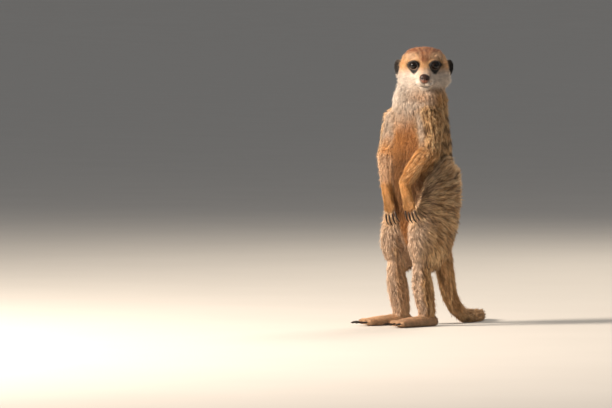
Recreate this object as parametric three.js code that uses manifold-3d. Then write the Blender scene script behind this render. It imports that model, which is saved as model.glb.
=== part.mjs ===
// A life-size meerkat standing upright on watch, as a museum shows one: chest forward, head turned to its
// left, hands hanging in front of the belly, both soles flat on the floor and the tail laid behind as a prop.
// Millimetres, +Z up. The chest faces -Y and the animal's left is +X. Every solid reaches out to the tips
// of the coat. Each part is a separate closed body, a GAP away from the next.

import * as THREE from "three";
import { mergeVertices } from "three/addons/utils/BufferGeometryUtils.js";
import Module from "manifold-3d";

const wasm = await Module();
wasm.setup();

// ---------------------------------------------------------------------------------------------------
// Driving dimensions
// ---------------------------------------------------------------------------------------------------

const GAP = 0.3; // between neighbouring parts
const EYE_LEVEL = 268; // the crown is 20 above it
const HEAD_TURN = THREE.MathUtils.degToRad(50); // towards the animal's left
const HEAD_NOD = THREE.MathUtils.degToRad(1); // nose down
const NECK_CUT = { height: 229, slope: 0.3 }; // where the neck meets the trunk; higher at the nape
const STANCE = 20; // each sole's middle from the mid plane
const HEEL = -7; // how far forward of the spine's line each heel stands
const SIDES = { left: 1, right: -1 };

const FORWARD = new THREE.Vector3(0, -1, 0);
const UP = new THREE.Vector3(0, 0, 1);

const COAT = {
  face: [0.8, 0.69, 0.55, 0.9],
  back: [0.52, 0.42, 0.31, 0.95],
  limb: [0.72, 0.5, 0.27, 0.9],
  dark: [0.07, 0.055, 0.05, 0.9],
  eye: [0.05, 0.03, 0.02, 0.08],
  nose: [0.2, 0.1, 0.08, 0.45],
  claw: [0.16, 0.12, 0.1, 0.35],
};

// ---------------------------------------------------------------------------------------------------
// Shaping
// ---------------------------------------------------------------------------------------------------

const point = (x, y, z) => new THREE.Vector3(x, y, z);
const between = (a, b, share) => a.clone().lerp(b, share);

// One section across a part: its centre, its half-width, and its depth on the two faces of the part.
const section = (x, y, z, side, front, back = front) => ({
  centre: point(x, y, z),
  size: point(side, front, back),
});
const sectionAt = (centre, side, front = side, back = front) => ({ centre, size: point(side, front, back) });

// The share of its full radius that a rounded end has, where share runs from 0 at the tip to 1.
const roundEnd = (share) => (share >= 1 ? 1 : Math.sqrt(1 - (1 - share) ** 2));

// A closed skin through sections. It starts from a sphere whose axis is bent along the line of centres.
// facing is the way that front points, caps are the shares of the length that round each end off,
// fullness is given for the first and the last section, where 2 is an ellipse and more is squarer, grow
// adds to every radius, and each swell pushes the skin out, or in where push is negative, round one point.
function loft(sections, settings) {
  const { facing, sides = 12, rings = 9, caps = [0.2, 0.2], fullness = [2, 2], grow = 0, swells = [] } = settings;
  const spine = new THREE.CatmullRomCurve3(sections.map((s) => s.centre));
  const sizes = new THREE.CatmullRomCurve3(sections.map((s) => s.size));
  const geometry = new THREE.SphereGeometry(1, sides, rings);
  const places = geometry.getAttribute("position");
  const p = new THREE.Vector3();
  for (let i = 0; i < places.count; i++) {
    p.fromBufferAttribute(places, i);
    const t = THREE.MathUtils.clamp((1 - p.y) / 2, 0, 1);
    const ring = Math.hypot(p.x, p.z);
    const centre = spine.getPoint(t);
    const along = spine.getTangent(t);
    if (ring < 1e-6) {
      p.copy(centre).addScaledVector(along, t < 0.5 ? -grow : grow);
    } else {
      const front = facing.clone().addScaledVector(along, -facing.dot(along)).normalize();
      const side = front.clone().cross(along);
      const size = sizes.getPoint(t);
      const across = p.x / ring;
      const deep = p.z / ring;
      const full = THREE.MathUtils.lerp(fullness[0], fullness[1], t);
      const reach = (Math.abs(across) ** full + Math.abs(deep) ** full) ** (-1 / full);
      const taper = roundEnd(t / caps[0]) * roundEnd((1 - t) / caps[1]);
      const depth = deep > 0 ? size.y : size.z;
      p.copy(centre)
        .addScaledVector(side, across * reach * (size.x * taper + grow))
        .addScaledVector(front, deep * reach * (depth * taper + grow));
      for (const { at, radius, push } of swells) {
        const share = Math.exp(-p.distanceToSquared(at) / radius ** 2);
        p.addScaledVector(p.clone().sub(centre).normalize(), push * share);
      }
    }
    places.setXYZ(i, p.x, p.y, p.z);
  }
  return solid(geometry);
}

function ellipsoid(centre, size, sides = 10, rings = 8) {
  const geometry = new THREE.SphereGeometry(1, sides, rings).scale(size.x, size.y, size.z);
  return solid(geometry.translate(centre.x, centre.y, centre.z));
}

function solid(geometry) {
  geometry.deleteAttribute("normal");
  geometry.deleteAttribute("uv");
  const merged = mergeVertices(geometry, 1e-4);
  return new wasm.Manifold(
    new wasm.Mesh({
      numProp: 3,
      vertProperties: merged.getAttribute("position").array,
      triVerts: new Uint32Array(merged.index.array),
    }),
  );
}

const join = (solids) => solids.reduce((whole, next) => whole.add(next));
const largest = (body) => body.decompose().reduce((a, b) => (a.volume() > b.volume() ? a : b));
const carve = (body, cutters) => largest(cutters.reduce((left, cutter) => left.subtract(cutter), body));
const flatUnderneath = (body) => body.trimByPlane([0, 0, 1], 0);

// The part of a body on the side of a plane that normal points to, half a gap off the plane.
function beyond(body, at, normal) {
  const n = normal.clone().normalize();
  return largest(body.trimByPlane([n.x, n.y, n.z], n.dot(at) + GAP / 2));
}

function mesh(name, body, [r, g, b, roughness]) {
  const { numProp, numVert, vertProperties, triVerts } = body.getMesh();
  const places = new Float32Array(numVert * 3);
  for (let i = 0; i < numVert; i++) {
    places.set(vertProperties.subarray(i * numProp, i * numProp + 3), i * 3);
  }
  const geometry = new THREE.BufferGeometry()
    .setAttribute("position", new THREE.BufferAttribute(places, 3))
    .setIndex(new THREE.BufferAttribute(new Uint32Array(triVerts), 1));
  geometry.computeVertexNormals();
  const material = new THREE.MeshStandardMaterial({ color: new THREE.Color(r, g, b), roughness, metalness: 0 });
  const made = new THREE.Mesh(geometry, material);
  made.name = name;
  return made;
}

// ---------------------------------------------------------------------------------------------------
// Trunk and neck: one form from the seat up into the head, parted at the base of the neck
// ---------------------------------------------------------------------------------------------------

const TORSO = [
  section(0, 1, 56, 15, 11, 15), // seat, between the thighs
  section(0, 0, 74, 22, 19, 28), // root of the tail
  section(0, -1, 100, 26, 27, 33.5), // groin
  section(0, -3, 128, 27.5, 31, 38.5), // rump
  section(0, -5, 156, 27.5, 31, 38), // belly
  section(0, -5, 182, 28, 29, 35.5), // short ribs
  section(0, -5, 206, 27.5, 27, 31), // chest
  section(0, -4.5, 226, 28.5, 27, 26.5), // shoulders
  section(0, -3, 244, 27.5, 26.5, 24.5), // neck
  section(0, -1, 264, 19, 18, 18), // top of the neck, inside the head
];
const torso = loft(TORSO, { facing: FORWARD, sides: 18, rings: 16, caps: [0.2, 0.12], fullness: [2.1, 2.1] });
const neckBase = point(0, 0, NECK_CUT.height);
const neckward = point(0, -NECK_CUT.slope, 1);

// ---------------------------------------------------------------------------------------------------
// Head, in its own frame: the origin is between the ears at the level of the eyes, the nose along -Y
// ---------------------------------------------------------------------------------------------------

const EYE = { x: 10.1, y: -21, z: 0.8, radius: 5.4 };
const NOSE = { y: -42, z: -12, side: 5.2, height: 4.7, depth: 4.2 };
const EAR = { x: 25.6, y: 5.5, z: -3, thick: 4.4, wide: 7.4, tall: 10, hollow: 0.74 };

const SKULL = [
  section(0, 28, -6, 15, 12, 15), // nape
  section(0, 20, -6.5, 20.5, 20.5, 21), // back of the skull
  section(0, 9, -8, 24.2, 27.4, 20), // ears
  section(0, -2, -10, 25.2, 30.2, 17.4), // crown and jowls
  section(0, -11, -11, 23.5, 28.2, 14.6), // brow
  section(0, -18, -12, 19.6, 23.6, 12.8), // eyes
  section(0, -24, -12.6, 14.8, 17, 11.4), // bridge of the nose
  section(0, -30, -13, 10.8, 11.4, 10.2), // muzzle
  section(0, -37.5, -13.4, 8.6, 8.2, 8.6), // whisker pads
  section(0, -44, -13.6, 5.8, 5.8, 5.8), // lips
];

const SWELLS = Object.values(SIDES).flatMap((sign) => [
  { at: point(sign * 21, -7, -15), radius: 11, push: 2.4 }, // cheek
  { at: point(sign * 10, -15, 9), radius: 7, push: 1.4 }, // brow
  { at: point(sign * EYE.x, EYE.y - 4, EYE.z - 1), radius: 6.5, push: -2 }, // eye socket
  { at: point(sign * 13, -26, -13), radius: 6, push: -1 }, // hollow between the cheek and the muzzle
]);

const skull = (grow = 0) =>
  loft(SKULL, { facing: UP, sides: 20, rings: 18, caps: [0.2, 0.12], fullness: [3.4, 2], grow, swells: SWELLS });

const eyeball = (sign, grow = 0) => {
  const radius = EYE.radius + grow;
  return ellipsoid(point(sign * EYE.x, EYE.y, EYE.z), point(radius, radius, radius));
};

const nosePad = (grow = 0) =>
  ellipsoid(point(0, NOSE.y, NOSE.z), point(NOSE.side + grow, NOSE.depth + grow, NOSE.height + grow));

// A rounded cup that stands off the side of the head and opens forward and outward.
function ear(sign, grow = 0) {
  const { thick, wide, tall, hollow } = EAR;
  const shell = ellipsoid(point(0, 0, 0), point(thick + grow, wide + grow, tall + grow));
  const cup = ellipsoid(point(3.4, -3, 0.6), point(thick * hollow, wide * hollow, tall * hollow), 8, 6);
  const lean = new THREE.Matrix4()
    .makeRotationFromEuler(new THREE.Euler(0.12, 0.1, -0.45))
    .setPosition(EAR.x, EAR.y, EAR.z);
  const left = (grow ? shell : largest(shell.subtract(cup))).transform(lean.elements);
  return sign > 0 ? left : left.mirror([1, 0, 0]);
}

const headFrame = new THREE.Group();
headFrame.name = "head_frame";
headFrame.position.set(2.6, -2.3, EYE_LEVEL);
headFrame.rotation.set(HEAD_NOD, 0, HEAD_TURN, "ZYX");
headFrame.updateMatrix();

function headParts() {
  const organs = [nosePad(GAP)];
  for (const sign of Object.values(SIDES)) organs.push(eyeball(sign, GAP), ear(sign, GAP));
  const parts = [mesh("head", carve(skull(), organs), COAT.face), mesh("nose", nosePad(), COAT.nose)];
  for (const [name, sign] of Object.entries(SIDES)) {
    parts.push(mesh(`eye_${name}`, eyeball(sign), COAT.eye), mesh(`ear_${name}`, ear(sign), COAT.dark));
  }
  return parts;
}

// ---------------------------------------------------------------------------------------------------
// Hands and feet: a pad with four digits, each ending in a curved claw
// ---------------------------------------------------------------------------------------------------

// Lengths run from the wrist or heel; a claw's drop is how far its tip hooks below the digit.
const HAND = {
  pad: { length: 22, root: 5.6, side: 7, height: 4.8 },
  digit: { count: 4, length: 13, radius: 2.8, spread: 3.8, fan: 0.1 },
  claw: { length: 11, radius: 1.4, drop: 4.4 },
};
const FOOT = {
  pad: { length: 45, root: 8, side: 8.6, height: 5.4 },
  digit: { count: 4, length: 17, radius: 3.5, spread: 4.6, fan: 0.07 },
  claw: { length: 8, radius: 1.3, drop: 1.4 },
};

// Works in the paw's own frame: +Y towards the toes, +X across, +Z out of its back.
function paw({ pad, digit, claw }, frame, grow = 0) {
  const back = UP;
  const placed = (body) => body.transform(frame.elements);
  const palm = [
    section(0, -pad.root, 0, pad.root * 0.8, pad.height * 1.1, pad.height),
    section(0, 0, 0, pad.root, pad.height * 1.5, pad.height),
    section(0, pad.length * 0.5, -0.2, pad.side * 0.92, pad.height * 1.2, pad.height),
    section(0, pad.length, -0.4, pad.side * 1.05, pad.height * 0.86, pad.height * 0.9),
    section(0, pad.length + digit.radius * 1.6, -0.6, pad.side * 0.8, pad.height * 0.6),
  ];
  const settings = { facing: back, grow };
  const flesh = [placed(loft(palm, { ...settings, sides: 10, rings: 7, caps: [0.22, 0.2], fullness: [2.3, 2.3] }))];
  const claws = [];
  for (let i = 0; i < digit.count; i++) {
    const place = i - (digit.count - 1) / 2; // -1.5 to 1.5
    const reach = digit.length * (1 - 0.09 * Math.abs(place) ** 1.6); // the middle digits are longest
    const at = (distance, drop) =>
      point(place * (digit.spread + digit.fan * distance), pad.length - digit.radius + distance, -0.6 - drop);
    const toe = [
      sectionAt(at(0, 0), digit.radius * 1.05, digit.radius * 1.1),
      sectionAt(at(reach * 0.5, -0.5), digit.radius, digit.radius * 1.05),
      sectionAt(at(reach, 0.1), digit.radius * 0.92, digit.radius * 0.9),
    ];
    flesh.push(placed(loft(toe, { ...settings, sides: 6, rings: 5, caps: [0.3, 0.35] })));
    const thick = (share) => claw.radius * share;
    const nail = [
      sectionAt(at(reach - 3, 0), thick(1), thick(1.2)),
      sectionAt(at(reach + claw.length * 0.35, 0), thick(0.85), thick(1)),
      sectionAt(at(reach + claw.length * 0.75, claw.drop * 0.4), thick(0.6), thick(0.7)),
      sectionAt(at(reach + claw.length, claw.drop), thick(0.34), thick(0.36)),
    ];
    const shape = (wider) =>
      placed(loft(nail, { facing: back, sides: 5, rings: 4, caps: [0.2, 0.16], grow: wider }));
    claws.push({ body: shape(0), room: shape(GAP) });
  }
  return { flesh: join(flesh), claws };
}

// A paw's frame from where it starts, the way its toes point and the way its back faces.
function pawFrame(root, toes, back) {
  const y = toes.clone().normalize();
  const z = back.clone().addScaledVector(y, -back.dot(y)).normalize();
  return new THREE.Matrix4().makeBasis(y.clone().cross(z), y, z).setPosition(root);
}

// Claws are numbered from the animal's mid plane outwards.
function clawMeshes(name, claws, sign) {
  const outward = sign > 0 ? claws : [...claws].reverse();
  return outward.map(({ body }, i) => mesh(`${name}_claw_${i + 1}`, body, COAT.claw));
}

// ---------------------------------------------------------------------------------------------------
// Arms: the right one hangs straight, the left one is bent and rests its hand on the knee
// ---------------------------------------------------------------------------------------------------

const ARMS = {
  left: {
    shoulder: point(20, -10, 220),
    slope: 0.34, // how far up its top runs in under the neck, as a share of the upper arm
    elbow: point(27, -14, 181),
    wrist: point(20.5, -43.5, 148),
    reach: point(4, 5, -39), // from the wrist to the claw tips
  },
  right: {
    shoulder: point(-22, -16, 213),
    slope: 0.52,
    elbow: point(-27, -26, 177),
    wrist: point(-16, -36.5, 145),
    reach: point(7, -1, -35),
  },
};
const UPPER_ARM = { shoulder: 12.5, middle: 12, elbow: 10.4, depth: 1.4 };
const FOREARM = { elbow: 11, middle: 9.8, wrist: 6.8, lift: 3.5 };

function armLofts({ shoulder, slope, elbow, wrist }, grow = 0) {
  const { depth } = UPPER_ARM;
  const upper = [
    sectionAt(between(shoulder, elbow, -slope).setX(shoulder.x * 0.8), UPPER_ARM.shoulder * 0.62, UPPER_ARM.shoulder * 0.82),
    sectionAt(between(shoulder, elbow, -0.04), UPPER_ARM.shoulder, UPPER_ARM.shoulder * depth),
    sectionAt(between(shoulder, elbow, 0.5), UPPER_ARM.middle, UPPER_ARM.middle * 1.16),
    sectionAt(elbow, UPPER_ARM.elbow),
    sectionAt(between(shoulder, elbow, 1.22), UPPER_ARM.elbow * 0.85),
  ];
  const fore = [
    sectionAt(between(elbow, wrist, -0.26), FOREARM.elbow * 0.85),
    sectionAt(elbow, FOREARM.elbow),
    sectionAt(between(elbow, wrist, 0.5).addScaledVector(UP, FOREARM.lift), FOREARM.middle),
    sectionAt(wrist, FOREARM.wrist),
    sectionAt(between(elbow, wrist, 1.1), FOREARM.wrist * 0.9),
  ];
  return {
    upper: loft(upper, { facing: FORWARD, grow, caps: [0.34, 0.22] }),
    fore: loft(fore, { facing: UP, grow, sides: 10, caps: [0.25, 0.12] }),
  };
}

function arm(name, sign, joints) {
  const { shoulder, elbow, wrist, reach } = joints;
  const frame = pawFrame(wrist, reach, FORWARD);
  const hand = paw(HAND, frame);
  const handRoom = paw(HAND, frame, GAP).flesh;
  const clawRooms = hand.claws.map((claw) => claw.room);
  const upperWay = elbow.clone().sub(shoulder).normalize();
  const foreWay = wrist.clone().sub(elbow).normalize();
  const handward = upperWay.add(foreWay);
  const shoulderward = handward.clone().negate();
  const { upper, fore } = armLofts(joints);
  const room = armLofts(joints, GAP);
  return {
    meshes: [
      mesh(`upper_arm_${name}`, beyond(upper, elbow, shoulderward), COAT.back),
      mesh(`forearm_${name}`, carve(beyond(fore, elbow, handward), [handRoom]), COAT.limb),
      mesh(`hand_${name}`, carve(hand.flesh, clawRooms), COAT.limb),
      ...clawMeshes(`hand_${name}`, hand.claws, sign),
    ],
    armRooms: [beyond(room.upper, elbow, shoulderward), beyond(room.fore, elbow, handward)],
    handRooms: [handRoom, ...clawRooms],
  };
}

// ---------------------------------------------------------------------------------------------------
// Legs: a deep haunch with its knee forward, a shank back to the heel, and a long sole on the floor
// ---------------------------------------------------------------------------------------------------

const haunchSections = (sign) => [
  section(sign * 16.5, 9, 174.5, 12, 14, 14), // hip
  section(sign * 19.5, 7, 160, 16.5, 23, 23),
  section(sign * 20.5, 4, 141, 18, 27.5, 26.5),
  section(sign * 21, 0, 120, 18.5, 29, 28), // the fullest of the haunch
  section(sign * 21.5, -6, 100, 18, 31.5, 29),
  section(sign * 21.5, -10, 81, 15.5, 31, 27), // knee, at the front
  section(sign * 20.5, -14, 66, 12, 24.5, 20.5),
  section(sign * 20, -17, 55, 8.5, 16, 12),
];
const shankSections = (sign) => [
  section(sign * STANCE, -20, 80, 9.6, 14, 12),
  section(sign * STANCE, -20.5, 60, 10, 14, 13), // calf
  section(sign * STANCE, -18.5, 40, 9.2, 12.6, 12.6),
  section(sign * STANCE, -15, 22, 8.2, 10.8, 11.4), // hock
  section(sign * STANCE, -12, 7, 7.6, 9.6, 9.6),
];
const haunch = (sign, grow = 0) =>
  loft(haunchSections(sign), { facing: FORWARD, sides: 14, rings: 12, caps: [0.18, 0.2], grow });
const shank = (sign, grow = 0) => loft(shankSections(sign), { facing: FORWARD, sides: 10, caps: [0.1, 0.12], grow });

function leg(name, sign, hands) {
  const toes = point(sign * 0.1, -1, 0);
  const heel = point(sign * STANCE, HEEL, FOOT.pad.height - 0.6);
  const frame = pawFrame(heel, toes, UP);
  const foot = paw(FOOT, frame);
  const footRoom = paw(FOOT, frame, GAP).flesh;
  const clawRooms = foot.claws.map((claw) => claw.room);
  return [
    mesh(`thigh_${name}`, carve(haunch(sign), hands), COAT.back),
    mesh(`shank_${name}`, carve(shank(sign), [haunch(sign, GAP), footRoom]), COAT.limb),
    mesh(`foot_${name}`, flatUnderneath(carve(foot.flesh, clawRooms)), COAT.limb),
    ...clawMeshes(`foot_${name}`, foot.claws, -sign),
  ];
}

// ---------------------------------------------------------------------------------------------------
// Tail: drops from the rump, then lies along the floor and curls behind the right foot
// ---------------------------------------------------------------------------------------------------

const TAIL = [
  section(0, 14, 98, 10, 10),
  section(0, 24, 76, 11, 11), // root
  section(0, 30, 50, 10, 10),
  section(-1, 38, 26, 9, 9),
  section(-4, 54, 10, 8.2, 8.2),
  section(-13, 79, 7, 7.4, 7.4),
  section(-31, 104, 6, 6.5, 6.5),
  section(-58, 122, 5.1, 5.6, 5.6), // tip
];
const TAIL_SIDE = point(0.45, 0.9, 1).normalize();
const TAIL_CUTS = {
  middle: { at: point(-2.5, 46, 16), along: point(-0.2, 1, -0.7) },
  tip: { at: point(-30, 103, 6), along: point(-1, 0.9, 0) },
};
const tail = (grow = 0) =>
  loft(TAIL, { facing: TAIL_SIDE, sides: 10, rings: 18, caps: [0.1, 0.14], grow });

function tailParts() {
  const { middle, tip } = TAIL_CUTS;
  const whole = flatUnderneath(tail());
  const hind = beyond(whole, middle.at, middle.along);
  return [
    mesh("tail_base", beyond(whole, middle.at, middle.along.clone().negate()), COAT.limb),
    mesh("tail_middle", beyond(hind, tip.at, tip.along.clone().negate()), COAT.limb),
    mesh("tail_tip", beyond(hind, tip.at, tip.along), COAT.dark),
  ];
}

// ---------------------------------------------------------------------------------------------------
// Assembly
// ---------------------------------------------------------------------------------------------------

function group(name, ...children) {
  const made = new THREE.Group();
  made.name = name;
  return made.add(...children);
}

const sides = Object.entries(SIDES);
const arms = sides.map(([name, sign]) => arm(name, sign, ARMS[name]));
const armRooms = arms.flatMap((made) => made.armRooms);
const handRooms = arms.flatMap((made) => made.handRooms);
const legs = sides.map(([name, sign]) => leg(name, sign, handRooms));
const legRooms = sides.flatMap(([, sign]) => [haunch(sign, GAP), shank(sign, GAP)]);
const headRoom = skull(GAP).transform(headFrame.matrix.elements);

const neck = carve(beyond(torso, neckBase, neckward), [headRoom, ...armRooms]);
const trunkRooms = [...armRooms, ...handRooms, ...legRooms, tail(GAP)];
const trunk = carve(beyond(torso, neckBase, neckward.clone().negate()), trunkRooms);

headFrame.add(...headParts());
const meerkat = group(
  "meerkat",
  group("body", mesh("trunk", trunk, COAT.back), mesh("neck", neck, COAT.face)),
  headFrame,
  ...sides.map(([name], i) => group(`arm_frame_${name}`, ...arms[i].meshes)),
  ...sides.map(([name], i) => group(`leg_frame_${name}`, ...legs[i])),
  group("tail_frame", ...tailParts()),
);

// The origin is on the floor, under the middle of the whole outline.
const middle = new THREE.Box3().setFromObject(meerkat, true).getCenter(new THREE.Vector3());
meerkat.position.set(-middle.x, -middle.y, 0);

export default meerkat;
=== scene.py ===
import bpy
import bmesh
import numpy as np
import openvdb
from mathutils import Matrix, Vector, kdtree


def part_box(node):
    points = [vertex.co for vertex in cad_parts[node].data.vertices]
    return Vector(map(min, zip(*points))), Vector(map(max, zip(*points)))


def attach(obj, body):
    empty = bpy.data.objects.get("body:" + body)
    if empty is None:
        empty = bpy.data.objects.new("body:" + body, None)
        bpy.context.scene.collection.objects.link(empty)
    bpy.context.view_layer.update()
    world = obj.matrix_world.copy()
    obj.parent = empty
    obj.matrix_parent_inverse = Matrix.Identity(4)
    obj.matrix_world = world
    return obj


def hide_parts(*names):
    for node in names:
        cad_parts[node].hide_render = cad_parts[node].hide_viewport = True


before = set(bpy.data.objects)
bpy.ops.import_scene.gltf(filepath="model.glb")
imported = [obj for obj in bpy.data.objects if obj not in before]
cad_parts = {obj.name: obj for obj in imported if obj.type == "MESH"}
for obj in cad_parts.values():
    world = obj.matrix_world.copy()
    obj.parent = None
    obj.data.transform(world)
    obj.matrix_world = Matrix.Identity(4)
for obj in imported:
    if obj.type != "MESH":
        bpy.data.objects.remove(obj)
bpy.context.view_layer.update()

# --------------------------------------
# Flesh: one body under the coat. The real one is skin over muscle without a seam, so the solids of
# trunk, limbs, head and tail are merged into one distance field, softened where they meet, and drawn
# in by the depth of the coat that grows there.

MM = 0.001
STEP = 1.24  # mm between samples of the field
REACH = 6.0  # mm of true distance kept on each side of a solid
CLOSING = 0.35  # mm that the solids are grown to meet across the gaps between them
SIDES = {"left": 1, "right": -1}

# For each solid of flesh: how deep its coat is (mm) and how much its form is softened (mm).
FLESH = {"trunk": (3.0, 2.4), "neck": (2.8, 2.4), "head": (1.5, 0.9)}
FLESH |= {"tail_base": (2.6, 1.6), "tail_middle": (2.4, 1.2), "tail_tip": (2.2, 0.9)}
for side in SIDES:
    FLESH |= {f"upper_arm_{side}": (2.6, 2.2), f"forearm_{side}": (1.8, 1.8), f"hand_{side}": (0.6, 0.9)}
    FLESH |= {f"thigh_{side}": (4.4, 2.6), f"shank_{side}": (2.2, 2.0), f"foot_{side}": (0.8, 0.8)}
    FLESH[f"ear_{side}"] = (0.35, 0.5)


def smooth(value, start, end):
    """From 0 at start to 1 at end, which may be the smaller of the two."""
    share = np.clip((value - start) / (end - start), 0, 1)
    return share * share * (3 - 2 * share)


def read_all(items, field, shape=(-1,), kind=np.int32):
    """One field of all points, edges, faces or corners of a mesh."""
    values = np.empty(len(items) * abs(np.prod(shape)), kind)
    items.foreach_get(field, values)
    return values.reshape(shape)


def shape_of(node):
    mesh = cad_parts[node].data
    mesh.calc_loop_triangles()
    points = read_all(mesh.vertices, "co", (-1, 3), np.float32) / MM
    return points, read_all(mesh.loop_triangles, "vertices", (-1, 3)).astype(np.uint32)


def distances(points, triangles, step):
    """Signed distances to a closed shape on a block of the grid, and the block's first index."""
    reach = round(REACH / step)
    grid = openvdb.FloatGrid.createLevelSetFromPolygons(
        points, triangles=triangles, transform=openvdb.createLinearTransform(step), halfWidth=reach
    )
    first = np.floor(points.min(0) / step).astype(int) - reach
    last = np.ceil(points.max(0) / step).astype(int) + reach
    block = np.full(last - first + 1, REACH, np.float32)
    grid.copyToArray(block, ijk=tuple(int(i) for i in first))
    return block, first


def quads_round(field, first, step, level=0.0):
    """The points (mm) and quads of the surface where a field has that level."""
    grid = openvdb.FloatGrid(float(REACH))
    grid.copyFromArray(np.ascontiguousarray(field, np.float32), ijk=tuple(int(i) for i in first))
    grid.transform = openvdb.createLinearTransform(step)
    return grid.convertToQuads(isovalue=level)


def overlap(at, size, first, shape):
    """The slices of two blocks that cover the same samples, or None."""
    start, stop = np.maximum(at, first), np.minimum(at + size, first + shape)
    if (stop <= start).any():
        return None
    return [tuple(slice(a - c, b - c) for a, b, c in zip(start, stop, corner)) for corner in (at, first)]


def blur(field, width):
    """A Gaussian blur whose width is in samples: three running means along each axis."""
    reach = max(1, round((np.sqrt(4 * width**2 + 1) - 1) / 2))
    span = 2 * reach + 1
    for axis in range(3):
        for _ in range(3 if width > 1.2 else 1):
            around = [(reach + 1, reach) if a == axis else (0, 0) for a in range(3)]
            padded = np.pad(field, around, mode="edge")
            total = np.moveaxis(np.cumsum(padded, axis), axis, 0)
            field = np.moveaxis((total[span:] - total[:-span]) / span, 0, axis)
    return field


def places(first, shape, step):
    """The three coordinates (mm) of every sample of a block, ready to broadcast."""
    return np.ogrid[tuple(slice(f * step, (f + n - 0.5) * step, step) for f, n in zip(first, shape))]


def flesh(step, low, high):
    """Distances to the flesh between two corners (mm), and the first index."""
    first = np.floor(np.asarray(low) / step).astype(int)
    shape = np.ceil(np.asarray(high) / step).astype(int) - first + 1
    near = np.full(shape, REACH, np.float32)
    depth = np.full(shape, 2.0, np.float32)
    softness = np.full(shape, 1.5, np.float32)
    for node, (cover, soft) in FLESH.items():
        lowest, highest = np.array(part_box(node)) / MM
        if (highest < np.asarray(low) - REACH).any() or (lowest > np.asarray(high) + REACH).any():
            continue
        block, at = distances(*shape_of(node), step)
        common = overlap(at, block.shape, first, shape)
        if common is None:
            continue
        part, here = block[common[0]], common[1]
        closer = part < near[here]
        if node.startswith(("thigh", "shank")):  # the thigh's long hair hangs over the top of the shank
            level = places(first, shape, step)[2][:, :, here[2]]
            cover = cover + (-smooth(level, 94, 74) if "thigh" in node else 2.2 * smooth(level, 38, 62))
        for held, value in ((depth, cover), (softness, soft), (near, part)):
            held[here] = np.where(closer, value, held[here])
    # Grown a little, the solids close on each other, and the distances inside are taken afresh. Flesh
    # that the block cuts through is capped there.
    for axis in range(3):
        for end in (0, -1):
            np.moveaxis(near, axis, 0)[end] = REACH
    points, quads = quads_round(near, first, step, CLOSING)
    triangles = np.vstack([quads[:, [0, 1, 2]], quads[:, [0, 2, 3]]]).astype(np.uint32)
    block, at = distances(points, triangles, step)
    there, here = overlap(at, block.shape, first, shape)
    near[:] = REACH
    near[here] = block[there] + CLOSING
    softness = blur(softness, 2.5 / step)
    share = np.clip((softness - 0.6) / 1.6, 0, 1)
    near = blur(near, 0.6 / step) * (1 - share) + blur(near, 2.2 / step) * share
    z = places(first, shape, step)[2]
    return near + blur(depth, 3.5 / step) * smooth(z, 0.5, 5), first


corners = [np.array(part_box(node)) / MM for node in FLESH]
body_low = np.min([c[0] for c in corners], 0) - REACH - 4
body_high = np.max([c[1] for c in corners], 0) + REACH
body_low = np.floor(body_low / STEP) * STEP
body, body_first = flesh(STEP, body_low, body_high)

# --------------------------------------
# Head and paws: sampled twice as finely. The lids close over the eyeballs to an almond, and the mouth is
# a shallow curve under the nose.

EYE_RADIUS = 5.4
LID = 0.5  # mm of lid over the ball
GAZE = np.radians([18, -3])  # each eye looks this far outward and up
OPENING = np.radians([47, 41])  # half angles of the gap between the lids
NOSE_FALL = np.arctan2(12.8, 21)  # how far below the level the nose lies, seen from between the eyes
MOUTH = {"level": -20.8, "curve": 0.026, "half": 12.2, "width": 0.7, "depth": 0.8}
LIP_RADIUS, CHIN_RADIUS = 4.8, 3.4


def middle_of(node):
    return np.array(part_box(node)).mean(0) / MM


def one_long(rows):
    return rows / np.maximum(np.linalg.norm(rows, axis=-1, keepdims=True), 1e-9)


eye_places = {side: middle_of(f"eye_{side}") for side in SIDES}
between_eyes = (eye_places["left"] + eye_places["right"]) / 2
nose_place = middle_of("nose")
across = one_long(eye_places["left"] - eye_places["right"])
ahead = nose_place - between_eyes
ahead = one_long(ahead - across * (ahead @ across))
lift = np.cross(ahead, across)
forward = ahead * np.cos(NOSE_FALL) + lift * np.sin(NOSE_FALL)
upward = np.cross(across, -forward)
HEAD_AXES = np.array([across, -forward, upward])  # rows: the animal's left, back, up
head_origin = between_eyes + forward * -21 - upward * 0.8
EYE = np.array([np.linalg.norm(eye_places["left"] - eye_places["right"]) / 2, -21, 0.8])
NOSE = HEAD_AXES @ (nose_place - head_origin)


def gaze_axes(sign):
    """Rows: across, up and out of one eye, in the head's frame."""
    out = one_long([sign * np.sin(GAZE[0]), -np.cos(GAZE[0]) * np.cos(GAZE[1]), np.sin(GAZE[1])])
    side = one_long(np.cross(out, [0, 0, 1]))
    return np.array([side, np.cross(side, out), out])


def lid_gap(u, v, w, sign):
    """How far (mm) a place on the ball lies outside the gap between the lids, and how far it is above."""
    r = np.sqrt(u**2 + v**2 + w**2) + 1e-6
    tilt = np.hypot(u, v) + 1e-6
    # wider than tall, with the inner corner drawn down towards the nose
    inner = smooth(-sign * u / tilt, 0.55, 1.0)
    wide, tall = OPENING[0] + 0.12 * inner, OPENING[1]
    limit = 1 / np.sqrt((u / tilt / wide) ** 2 + ((v / tilt + 0.35 * inner) / tall) ** 2)
    return (np.arccos(np.clip(w / r, -1, 1)) - limit) * r, v / tilt, r


def bell(value, width):
    return np.exp(-((value / width) ** 2))


def join_softly(a, b, radius):
    """The union of two fields with a fillet of that radius."""
    mix = np.clip(0.5 + 0.5 * (b - a) / radius, 0, 1)
    return b * (1 - mix) + a * mix - radius * mix * (1 - mix)


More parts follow.
